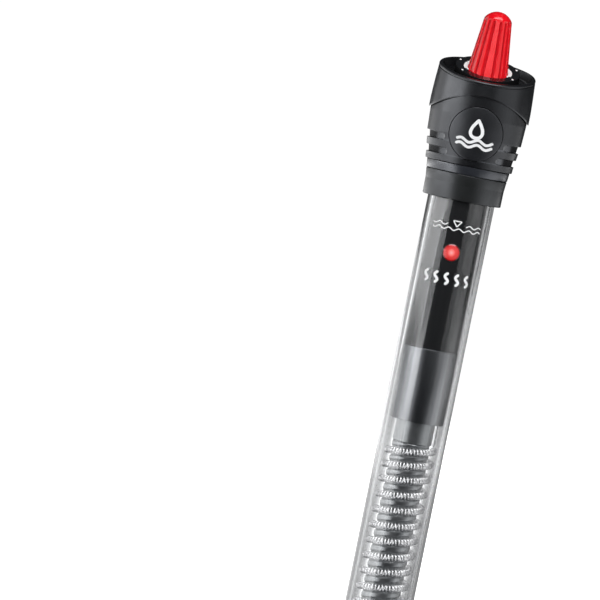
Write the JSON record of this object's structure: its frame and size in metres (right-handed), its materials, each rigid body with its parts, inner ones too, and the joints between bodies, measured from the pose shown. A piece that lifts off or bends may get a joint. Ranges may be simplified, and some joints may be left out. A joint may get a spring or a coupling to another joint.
{
  "type": "submersible aquarium heater",
  "caption": "Submersible aquarium heater: round-ended glass tube with a coiled element, thermostat and lamp, plastic head with a sloped dial and a turning knob.",
  "frame": {"origin": "on the tube axis, at the middle of the bare straight glass that holder clips grip", "axes": "+Z along the tube towards the knob, -Y towards the front of the head with the round badge and the indicator lamp, +X to the right seen from the front"},
  "size_m": [0.036, 0.0383, 0.3],
  "materials": {
    "red_plastic": "glossy moulded",
    "brass": "turned",
    "steel": "plain",
    "charcoal_plastic": "satin moulded",
    "black_plastic": "satin",
    "white_print": "printed",
    "black_rubber": "matte",
    "dark_metal": "satin lacquer",
    "collar_plastic": "satin moulded",
    "wire_insulation": "silicone sleeve",
    "tube_glass": "clear",
    "sleeve_plastic": "satin moulded",
    "lens_red": "polished translucent",
    "lamp_glass": "clear",
    "resistor_body": "lacquered",
    "insulating_board": "laminate",
    "spring_brass": "rolled",
    "contact_metal": "polished",
    "bimetal": "rolled",
    "magnet": "ground",
    "ceramic_white": "fired ceramic",
    "shield_metal": "satin",
    "ceramic_grey": "fired ceramic",
    "resistance_wire": "bright drawn",
    "fibre_white": "felted fibre"
  },
  "bodies": {
    "heater": {"spindle_bush": "brass", "head_cover": "charcoal_plastic", "dial_ring": "black_plastic", "dial_disc": "white_print", "scale_dots": "white_print", "head_body": "charcoal_plastic", "badge_disc": "charcoal_plastic", "cord_gland": "black_rubber", "gland_nut": "black_plastic", "clamp_band": "dark_metal", "seal_collar": "collar_plastic", "collar_o_ring": "black_rubber", "seal_plug": "black_rubber", "spindle_o_rings": "black_rubber", "core_leads": "wire_insulation", "crimp_terminals": "steel", "glass_tube": "tube_glass", "thermostat_sleeve": "sleeve_plastic", "lamp_lens": "lens_red", "neon_lamp": "lamp_glass", "lamp_resistor": "resistor_body", "base_plate": "insulating_board", "pivot_pins": "steel", "terminal_block": "ceramic_white", "block_screws": "steel", "heat_shield": "shield_metal", "lower_spacer": "ceramic_white", "former_neck": "ceramic_grey", "ceramic_former": "ceramic_grey", "heating_coil": "resistance_wire", "feed_lead": "resistance_wire", "return_lead": "resistance_wire", "end_disc": "ceramic_white", "end_cushion": "fibre_white"},
    "knob": {"knob": "red_plastic", "spindle": "brass", "spindle_clip": "steel"},
    "adjuster": {"adjuster_nut": "brass"},
    "set_arm": {"set_blade": "spring_brass", "set_contact": "contact_metal", "snap_magnet": "magnet"},
    "bimetal_arm": {"bimetal_strip": "bimetal", "moving_contact": "contact_metal"}
  },
  "joints": [
    {"name": "knob_turn", "type": "hinge", "parent": "heater", "child": "knob", "pos_m": [0, 0, 0.15], "axis": [0, 0, 1], "range_deg": [-150, 150]},
    {"name": "nut_travel", "type": "slide", "parent": "heater", "child": "adjuster", "axis": [0, 0, 1], "range_m": [-0.0003, 0.0003]},
    {"name": "set_arm_swing", "type": "hinge", "parent": "heater", "child": "set_arm", "pos_m": [-0.00105, 0, 0.07], "axis": [0, 1, 0], "range_deg": [-0.6, 0.6]},
    {"name": "bimetal_bend", "type": "hinge", "parent": "heater", "child": "bimetal_arm", "pos_m": [0.0015, 0, 0.064], "axis": [0, 1, 0], "range_deg": [-0.85, 1.5], "stiffness_Nm_per_rad": 0.05}
  ],
  "couplings": [
    {"joint": "nut_travel", "follows": "knob_turn", "m_per_rad": 0.00011141},
    {"joint": "set_arm_swing", "follows": "knob_turn", "ratio": -0.0038023}
  ]
}
